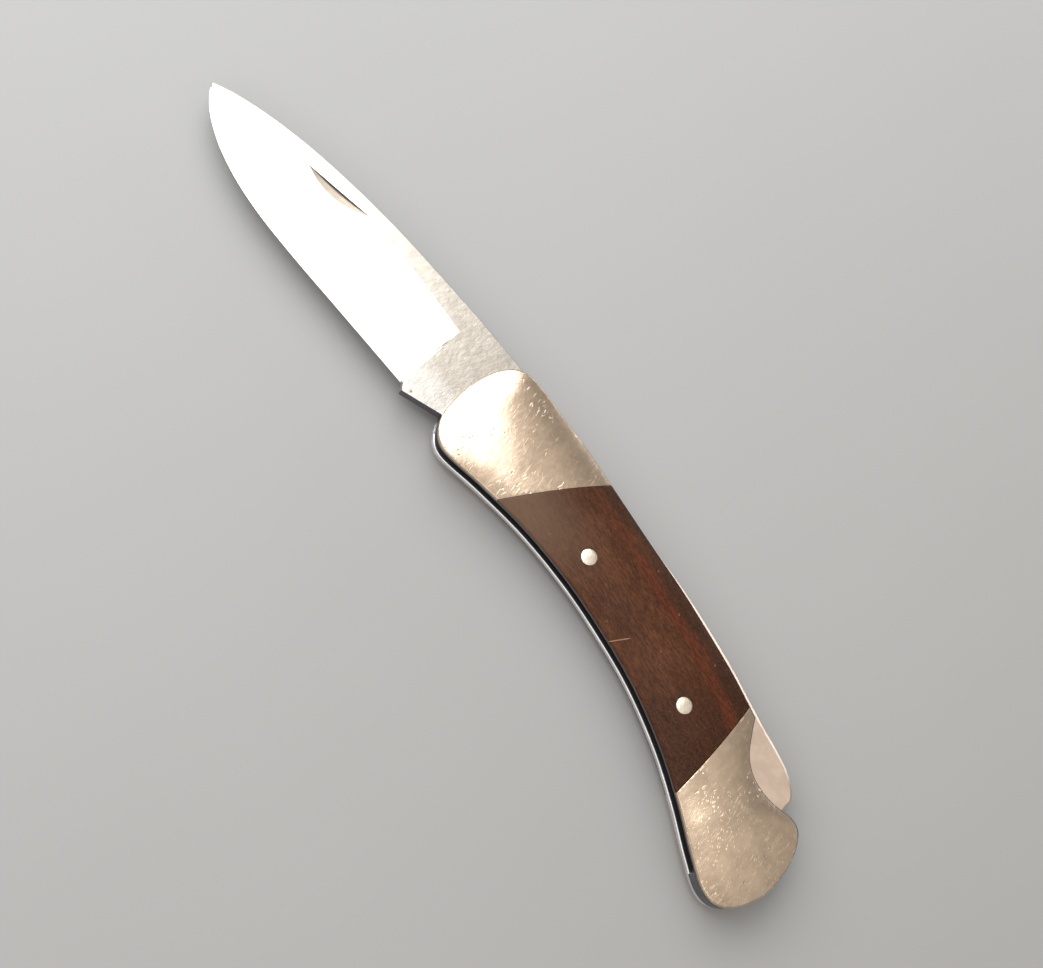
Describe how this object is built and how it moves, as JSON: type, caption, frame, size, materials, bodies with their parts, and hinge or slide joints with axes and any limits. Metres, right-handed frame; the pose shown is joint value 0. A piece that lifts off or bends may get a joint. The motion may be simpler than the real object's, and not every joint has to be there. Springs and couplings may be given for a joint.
{
  "type": "folding pocket knife",
  "caption": "Lockback folding knife, open: hollow-ground blade with a nail nick, sprung lock bar in the spine, metal bolsters and dark wood scales over steel liners.",
  "frame": {"origin": "on the blade pivot's axis, in the plane of the pile side's flat land that the knife lies on", "axes": "+X along the handle from the pivot to the butt, +Y to the spine, +Z out through the mark side, which carries the nail nick"},
  "size_m": [0.1832, 0.0427, 0.0108],
  "materials": {
    "blade_steel": "fine satin, near mirror",
    "bolster_metal": "worn satin nickel silver",
    "liner_steel": "satin, polished edges",
    "lock_steel": "satin, polished corners",
    "spring_steel": "plain",
    "pin_metal": "polished",
    "wood": "oiled, satin"
  },
  "bodies": {
    "handle": {"pivot_pin": "pin_metal", "rocker_pin": "pin_metal", "lock_spring": "spring_steel", "spring_holder": "liner_steel", "upper_butt_pin": "pin_metal", "lower_butt_pin": "pin_metal", "mark_side_liner": "liner_steel", "pile_side_liner": "liner_steel", "mark_side_front_bolster": "bolster_metal", "pile_side_front_bolster": "bolster_metal", "mark_side_scale": "wood", "pile_side_scale": "wood", "mark_side_rear_bolster": "bolster_metal", "pile_side_rear_bolster": "bolster_metal", "mark_side_front_scale_pin": "pin_metal", "pile_side_front_scale_pin": "pin_metal", "mark_side_rear_scale_pin": "pin_metal", "pile_side_rear_scale_pin": "pin_metal"},
    "blade": {"blade": "blade_steel"},
    "lock_bar": {"lock_bar": "lock_steel"}
  },
  "joints": [
    {"name": "blade_pivot", "type": "hinge", "parent": "handle", "child": "blade", "pos_m": [0, 0, 0.0054], "axis": [0, 0, 1], "range_deg": [0, 168]},
    {"name": "lock_rocker", "type": "hinge", "parent": "handle", "child": "lock_bar", "pos_m": [0.04, 0.0046, 0.0054], "axis": [0, 0, -1], "range_deg": [-1.6, 0.8], "stiffness_Nm_per_rad": 0.46, "springref_deg": -14.32, "deforming": ["lock_spring"]}
  ]
}
